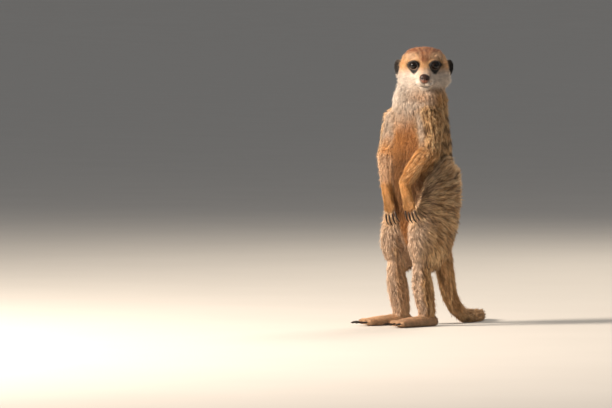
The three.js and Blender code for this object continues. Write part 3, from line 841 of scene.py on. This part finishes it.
def grow_coat(name, starts, slot, keep, spacing, seed):
    """One piece of coat over the triangles that keep picks, of the solids whose names start so."""
    rng = np.random.default_rng(seed)
    solids = [node for node in nodes if node.startswith(starts)]
    indices = [nodes.index(s) for s in solids]
    chosen = np.flatnonzero(np.isin(triangle_node, indices) & keep)
    weight = np.cumsum(wanted[chosen])
    count = int(weight[-1])
    picked = np.searchsorted(weight, (np.arange(count) + rng.random(count)) * weight[-1] / count)
    tris = triangles[chosen[np.minimum(picked, len(chosen) - 1)]]
    r1, r2 = np.sqrt(rng.random(count)), rng.random(count)
    bary = np.stack([1 - r1, r1 * (1 - r2), r1 * r2], 1)

    def at_root(values):
        return np.einsum("ij,ij...->i...", bary, values[tris])

    root, n, d = at_root(skin_points), one_long(at_root(skin_slopes)), at_root(flow)
    twist = (rng.normal(0, 0.16, count) + 0.16 * waves(root, 11, seed + 50))[:, None]
    d = d * np.cos(twist) + np.cross(n, d) * np.sin(twist)
    d = one_long(d - n * (d * n).sum(1, keepdims=True))
    tone = capped(0.5 + 0.24 * streaks(root, d, *STREAK, 7) + 0.3 * (rng.random(count) - 0.5))
    # A few wisps stand out of the lie, least where the hair is long and heavy.
    long = at_root(length)
    wisp = (rng.random(count) < 0.03 + 0.03 * smooth(long, 3, 8)) * (1 - 0.5 * smooth(long, 6, 11))
    half_long = (long * rng.uniform(0.7, 1.15, count) * (1 + 0.3 * wisp))[:, None] * 0.5
    half_wide = (at_root(width) * rng.uniform(0.75, 1.2, count))[:, None] / 2
    rise = at_root(lie) * rng.uniform(0.5, 1.4, count) + 7 * (tone - 0.5) + 16 * wisp
    rise = np.radians(np.clip(rise, 3, 45))[:, None]
    # Each stands up from its root and bends over half way.
    mid, tip = (d * np.cos(rise * k) + n * np.sin(rise * k) for k in (1.35, 0.65))
    mid = root + mid * half_long
    tip = mid + tip * half_long
    # Neighbouring tips lean together into locks.
    leads = rng.random(count) < np.minimum(1, 1 / (at_root(density) * spacing**2))
    if leads.sum() > 10:
        tree = kdtree.KDTree(int(leads.sum()))
        for i, p in enumerate(root[leads]):
            tree.insert(p, i)
        tree.balance()
        lead = np.flatnonzero(leads)[[tree.find(p)[1] for p in root]]
        near = np.linalg.norm(root - root[lead], axis=1) < spacing * 1.6
        share = (at_root(pull) * near)[:, None]
        apart = root - root[lead]
        tip = tip * (1 - share) + (tip[lead] + apart * 0.15) * share
        mid = mid * (1 - share * 0.5) + (mid[lead] + apart * 0.6) * (share * 0.5)
    base = root - n * SUNK
    half, thick = np.cross(n, d) * half_wide, n * (half_wide * 0.9)
    rings = [at + part * grow for at, grow in ((base, 1), (mid, 0.8)) for part in (-half, half, thick)]
    corners = np.stack([*rings, tip], 1)
    corners[..., 2] = np.maximum(corners[..., 2], 0.12 + 0.05 * np.arange(POINTS))  # off the floor
    made = bpy.data.meshes.new(name)
    faces = [[v + POINTS * i for v in face] for i in range(count) for face in TUFT_FACES]
    made.from_pydata((corners.reshape(-1, 3) * MM).tolist(), [], faces)
    set_attribute(made, "strand", np.tile(TUFT_STRAND, count))
    set_attribute(made, "tuft", np.repeat(tone, POINTS))
    for mark, values in marks.items():
        set_attribute(made, mark, np.repeat(at_root(values), POINTS))
    sheet = atlas(solids)
    label = skin_node[tris[:, 0]]
    uv = np.zeros((count, 2))
    for solid, index in zip(solids, indices):
        here = label == index
        uv[here] = on_atlas(sheet, solid, *rolled(solid, root[here]))
    corner_uv = np.clip((uv[:, None] + TUFT_PATCH[None]).reshape(-1, 2), 0, 1)
    corner_uv = corner_uv[read_all(made.loops, "vertex_index")]
    made.uv_layers.new(name="OFBake").data.foreach_set("uv", corner_uv.ravel())
    finish_piece(put_in_scene(name, made), coat_hair, slot)


centres = (a + b + c) / 3
centre_h = head_points(centres)
left_half, face_front = centre_h[:, 0] > 0, centre_h[:, 1] < FACE_BACK
CHEST_FROM, FIRST_SEED = 165, 11  # mm over the floor where the chest begins, and the first draw
behind, high_up = centres[:, 1] > axis_y, centres[:, 2] > CHEST_FROM
for i, (name, solids, slot, keep, spacing) in enumerate((
    ("face_left", "head", "coat_face", face_front & left_half, 2.0),
    ("face_right", "head", "coat_face", face_front & ~left_half, 2.0),
    ("crown_left", "head", "coat_face", ~face_front & left_half, 2.4),
    ("crown_right", "head", "coat_face", ~face_front & ~left_half, 2.4),
    ("ears", "ear", "ear", True, 2.0),
    ("neck", "neck", "coat_face", True, 2.2),
    ("chest", "trunk", "coat_back", ~behind & high_up, 2.2),
    ("belly", "trunk", "coat_back", ~behind & ~high_up, 2.2),
    ("back_upper", "trunk", "coat_back", behind & high_up, 2.2),
    ("back_lower", "trunk", "coat_back", behind & ~high_up, 2.2),
    ("upper_arms", "upper_arm", "coat_back", True, 1.9),
    ("forearms", "forearm", "coat_limb", True, 1.8),
    ("hands", "hand", "coat_limb", True, 2.0),
    ("thigh_left", "thigh_left", "coat_back", True, 1.7),
    ("thigh_right", "thigh_right", "coat_back", True, 1.7),
    ("shanks", "shank", "coat_limb", True, 1.9),
    ("feet", "foot", "coat_limb", True, 2.0),
    ("tail", ("tail_base", "tail_middle"), "coat_limb", True, 1.9),
    ("tail_tip", "tail_tip", "coat_dark", True, 2.6),
)):
    grow_coat(f"coat_{name}", solids, slot, keep, spacing, FIRST_SEED + i)

# --------------------------------------
# Eyes: wet balls set under the lids, almost black, with a dark brown iris round a wide flat pupil. The
# clear front bulges a little, and gives one small sharp highlight.

IRIS, PUPIL = 36.0, 20.0  # degrees off the line of sight


def from_head(points):
    return points @ HEAD_AXES + head_origin


def make_piece(name, points, faces, material, slot, *replaced):
    made = bpy.data.meshes.new(name)
    made.from_pydata((points * MM).tolist(), [], [list(f) for f in faces])
    finish_piece(put_in_scene(name, made), material, slot, *replaced)
    return made


def ball(around, rings):
    """Unit points and faces of a closed ball whose pole is +Z."""
    tilts = np.pi * np.arange(1, rings) / rings
    spins = 2 * np.pi * np.arange(around) / around
    t, s = np.meshgrid(tilts, spins, indexing="ij")
    points = np.stack([np.sin(t) * np.cos(s), np.sin(t) * np.sin(s), np.cos(t)], -1).reshape(-1, 3)
    points = np.vstack([points, [[0, 0, 1], [0, 0, -1]]])
    top, bottom = len(points) - 2, len(points) - 1
    faces = []
    for i in range(around):
        j = (i + 1) % around
        faces += [(top, i, j), (bottom, (rings - 2) * around + j, (rings - 2) * around + i)]
        for a in range(0, (rings - 2) * around, around):
            faces.append((a + i, a + around + i, a + around + j, a + j))
    return points, faces


wet_eye, tree = new_material("wet_eye")
off_sight = add("Attribute", {"attribute_name": "off_sight"})["Fac"]
# fine radial threads in the iris, 0.4 mm apart
threads = add("TexNoise", Vector=add("TexCoord")["Object"], Scale=1 / 0.0004, Detail=2.0)["Fac"]
iris = add("Mix", MIX, i0=threads, i6=colour("#0E0906"), i7=colour("#20140C"))[2]
in_iris = add("MapRange", i0=off_sight, i1=PUPIL - 2, i2=PUPIL + 2, i3=0.0, i4=1.0)[0]
tone = add("Mix", MIX, i0=in_iris, i6=colour("#050404"), i7=iris)[2]
outside = add("MapRange", i0=off_sight, i1=IRIS, i2=IRIS + 5, i3=0.0, i4=1.0)[0]
tone = add("Mix", MIX, i0=outside, i6=tone, i7=colour("#160E0B"))[2]
surface = add(
    "BsdfPrincipled", Base_Color=tone, Roughness=0.3, IOR=1.376, Specular_IOR_Level=0.05,
    Coat_Weight=0.8, Coat_Roughness=0.02, Coat_IOR=1.376,
)["BSDF"]
add("OutputMaterial", Surface=surface)

for side, sign in SIDES.items():
    unit, faces = ball(48, 32)
    tilt = np.degrees(np.arccos(np.clip(unit[:, 2], -1, 1)))
    bulge = 0.45 * smooth(tilt, 44, 18)
    axes = gaze_axes(sign)
    local = unit * (EYE_RADIUS - 0.02 + bulge)[:, None]
    points = from_head(local @ axes + [sign * EYE[0], EYE[1], EYE[2]])
    if np.linalg.det(axes) < 0:
        faces = [f[::-1] for f in faces]
    eye = make_piece(f"eyeball_{side}", points, faces, wet_eye, "eye", f"eye_{side}")
    # the pupil is wider than it is tall
    wide = np.degrees(np.arctan2(np.hypot(unit[:, 0] * 0.8, unit[:, 1] * 1.35), unit[:, 2]))
    set_attribute(eye, "off_sight", wide)

# --------------------------------------
# Nose: bare pebbled skin, dark brown over the top and pinkish below, moist and a little glossy, with
# two comma-shaped nostrils, painted near black inside as painted shade, and a groove between them.

moist_nose, tree = new_material("moist_nose")
place = add("TexCoord")["Object"]
below = add("Attribute", {"attribute_name": "below"})["Fac"]
nostril_shade = add("Attribute", {"attribute_name": "nostril_shade"})["Fac"]
# pebbles 0.6 mm across, as on the real pad
pebbles = add("TexVoronoi", Vector=place, Scale=1 / 0.0006)["Distance"]
tone = add("Mix", MIX, i0=below, i6=colour("#3A2620"), i7=colour("#8E5A45"))[2]
tone = add("Mix", MIX, i0=add("Math", MULTIPLY, i0=pebbles, i1=0.5)[0], i6=tone, i7=colour("#1C1210"))[2]
# the nostrils are painted near black as painted shade
tone = add("Mix", MIX, i0=nostril_shade, i6=tone, i7=colour("#0C0707"))[2]
bump = add("Bump", {"invert": True}, Strength=0.4, Distance=0.00025, Height=pebbles)["Normal"]
surface = add("BsdfPrincipled", Base_Color=tone, Roughness=0.38, IOR=1.4, Normal=bump)["BSDF"]
add("OutputMaterial", Surface=surface)

unit, faces = ball(64, 48)
unit = unit[:, [0, 2, 1]] * [1, -1, 1]  # the pole faces forward
NOSE_SIZE = np.array([5.2, 4.2, 4.7])  # mm from its middle
shape = np.sign(unit) * np.abs(unit) ** 0.92
shape /= np.linalg.norm(shape, axis=1, keepdims=True) ** 0.6
local = shape * NOSE_SIZE
nx, ny, nz = local.T
nx *= 1 - 0.22 * smooth(nz, 1, -4.5)  # narrower below
pits = sum(
    np.exp(-(((nx - s * at) / wide) ** 2) - ((nz + down) / tall) ** 2) * deep
    for at, wide, down, tall, deep in ((2.5, 1.15, 0.4, 0.95, 1), (4.2, 1.2, 0.2, 0.5, 0.7))
    for s in SIDES.values()
)
pits = capped(pits) * (ny < 1)
groove = bell(nx, 0.4) * smooth(nz, 2.5, -0.5)
local -= unit * (1.3 * pits + 0.45 * groove * (ny < 0))[:, None]
nose = make_piece("nose_pad", from_head(local + NOSE), faces, moist_nose, "nose_pad", "nose")
set_attribute(nose, "below", smooth(nz, -0.2, -3.0) * (1 - pits))
set_attribute(nose, "nostril_shade", smooth(pits, 0.35, 0.9))

# --------------------------------------
# Claws: long curved keratin, horn brown and darker to the tip, polished by digging. Each grows out of
# the end of a digit.

claw_horn, tree = new_material("claw_horn")
place = add("TexCoord")["Object"]
along = add("Attribute", {"attribute_name": "along"})["Fac"]
# growth lines 0.5 mm apart
lines = add("TexNoise", Vector=place, Scale=1 / 0.0005, Detail=1.5)["Fac"]
tone = add("Mix", MIX, i0=along, i6=colour("#4A3A2F"), i7=colour("#18110E"))[2]
tone = add("Mix", MIX, i0=add("Math", MULTIPLY, i0=lines, i1=0.35)[0], i6=tone, i7=colour("#2E251F"))[2]
bump = add("Bump", Strength=0.2, Distance=0.0001, Height=lines)["Normal"]
surface = add(
    "BsdfPrincipled", Base_Color=tone, Roughness=0.42, IOR=1.54, Specular_IOR_Level=0.3, Normal=bump
)["BSDF"]
add("OutputMaterial", Surface=surface)

for side in SIDES:
    for paw in ("hand", "foot"):
        claws = [f"{paw}_{side}_claw_{i}" for i in range(1, 5)]
        joined = bmesh.new()
        for claw in claws:
            joined.from_mesh(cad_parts[claw].data)
        bmesh.ops.remove_doubles(joined, verts=joined.verts, dist=1e-6)
        rough = bpy.data.meshes.new("rough_claws")
        joined.to_mesh(rough)
        joined.free()
        holder = put_in_scene("rough_claws", rough)
        holder.modifiers.new("rounded", "SUBSURF").levels = 2
        bpy.context.view_layer.update()
        rounded = bpy.data.meshes.new_from_object(holder.evaluated_get(bpy.context.evaluated_depsgraph_get()))
        bpy.data.objects.remove(holder)
        rounded.name = f"claws_{paw}_{side}"
        rounded.materials.clear()
        finish_piece(put_in_scene(rounded.name, rounded), claw_horn, "claw", *claws)
        points = read_all(rounded.vertices, "co", (-1, 3), float) / MM
        way = axis_towards(claws[1], (0, 0, -1) if paw == "hand" else (0, -1, 0))
        reach = points @ way
        set_attribute(rounded, "along", (reach - reach.min()) / np.ptp(reach))

# --------------------------------------
# Whiskers: stiff dark tapering hairs that fan back over the cheeks from the pads of the upper lip.

rng = np.random.default_rng(71)
points, faces = [], []
for sign in SIDES.values():
    for _ in range(11):
        start = np.array([sign * rng.uniform(4, 8), rng.uniform(-41, -35), rng.uniform(-17, -12)])
        way = one_long([sign * 0.7, rng.uniform(0.45, 0.95), rng.uniform(-0.6, 0.0)])
        reach = rng.uniform(9, 15)
        for share in (0.0, 0.35, 0.7, 1.0):
            centre = start + way * reach * share + np.array([-sign * 0.6, 1.6, -1.8]) * share**2
            thick = 0.13 * (1 - 0.85 * share)
            for turn in range(3):
                spin = 2 * np.pi * turn / 3
                points.append(centre + thick * np.array([0.2, np.cos(spin), np.sin(spin)]))
        first = len(points) - 12
        for ring in (first, first + 3, first + 6):
            for p, q in ((ring, ring + 1), (ring + 1, ring + 2), (ring + 2, ring)):
                faces.append((p, q, q + 3, p + 3))
        faces += [(first + 2, first + 1, first), (first + 9, first + 10, first + 11)]
whisker_hair, tree = new_material("whisker_hair")
fleck = add("TexNoise", Vector=add("TexCoord")["Object"], Scale=1 / 0.004)["Fac"]
tone = add("Mix", MIX, i0=fleck, i6=colour("#241A15"), i7=colour("#5C4838"))[2]
surface = add("BsdfPrincipled", Base_Color=tone, Roughness=0.45, IOR=1.55)["BSDF"]
add("OutputMaterial", Surface=surface)
make_piece("whiskers", from_head(np.array(points)), faces, whisker_hair, "coat_dark")

# --------------------------------------
# Studio: a wide pale floor that rises far off, a large warm lamp low on the camera's left, a weak one
# on its right, one behind for the edges of the coat, and pale air.

CAMERA_TURN, CAMERA_RISE, CAMERA_FAR = np.radians(50), np.radians(2), 7.0
VIEW_WIDE = 0.63  # m across the view at the animal
AIM_LEFT, AIM_HIGH = 0.1216, 0.1257  # m left of the eyes and over the floor
feet = np.array([middle_of("foot_left"), middle_of("foot_right")]).mean(0)
toward = np.array([np.sin(CAMERA_TURN), -np.cos(CAMERA_TURN), 0])
right = np.array([np.cos(CAMERA_TURN), np.sin(CAMERA_TURN), 0])
FLOOR = [(15, 0), (25, 0), (32, 0.3), (37, 1), (40, 2.5)]  # m out and up

pale_board, tree = new_material("pale_board")
fibres = add("TexNoise", Vector=add("TexCoord")["Object"], Scale=6.0, Detail=3.0)["Fac"]
tone = add("Mix", MIX, i0=fibres, i6=colour("#CFCAC2"), i7=colour("#D6D1C9"))[2]
surface = add("BsdfPrincipled", Base_Color=tone, Roughness=0.9, IOR=1.5)["BSDF"]
add("OutputMaterial", Surface=surface)
floor_mesh = bpy.data.meshes.new("floor")
around = np.linspace(0, 2 * np.pi, 48, endpoint=False)
points = [(far * np.cos(t), far * np.sin(t), up) for far, up in FLOOR for t in around]
inner = [(48 * ring + i, 48 * ring + (i + 1) % 48) for ring in range(len(FLOOR) - 1) for i in range(48)]
floor_mesh.from_pydata(points, [], [range(48)] + [(b, a, a + 48, b + 48) for a, b in inner])
floor_mesh.polygons.foreach_set("use_smooth", [True] * len(floor_mesh.polygons))
floor_mesh.materials.append(pale_board)
put_in_scene("floor", floor_mesh)


def lamp(name, turn, rise, far, size, watts, hex_code):
    data = bpy.data.lights.new(name, "AREA")
    data.shape, data.size, data.energy, data.color = "DISK", size, watts, colour(hex_code)[:3]
    made = put_in_scene(name, data)
    turn, rise = np.radians(turn), np.radians(rise)
    way = Vector((np.sin(turn) * np.cos(rise), -np.cos(turn) * np.cos(rise), np.sin(rise)))
    made.location = Vector((0, 0, 0.15)) + way * far
    made.rotation_euler = way.to_track_quat("Z", "Y").to_euler()


lamp("key", -17, 24, 1.9, 0.6, 88, "#FFF0E0")
lamp("fill", 110, 30, 2.4, 1.6, 2.5, "#EAF0FF")
lamp("rim", 205, 40, 2.2, 0.9, 22, "#FFF2E0")

world = bpy.data.worlds.new("pale_air")
world.use_nodes = True
world.node_tree.nodes["Background"].inputs["Color"].default_value = colour("#E4E6EA")
world.node_tree.nodes["Background"].inputs["Strength"].default_value = 0.27
stage = bpy.context.scene
stage.world = world
stage.view_settings.view_transform = "Standard"

# The aim is left of the animal and at mid height, so that it stands right of the middle.
aim = np.array([feet[0], feet[1], 0]) * MM
aim = right * (right @ (between_eyes * MM) - AIM_LEFT) + toward * (toward @ aim) + [0, 0, AIM_HIGH]
seat = aim + CAMERA_FAR * (toward * np.cos(CAMERA_RISE) + np.array([0, 0, np.sin(CAMERA_RISE)]))
lens = bpy.data.cameras.new("camera")
lens.lens, lens.sensor_width, lens.clip_end = 36 * CAMERA_FAR / VIEW_WIDE, 36.0, 60.0
camera = put_in_scene("camera", lens)
camera.location = seat
camera.rotation_euler = Vector(seat - aim).to_track_quat("Z", "Y").to_euler()
stage.camera = camera
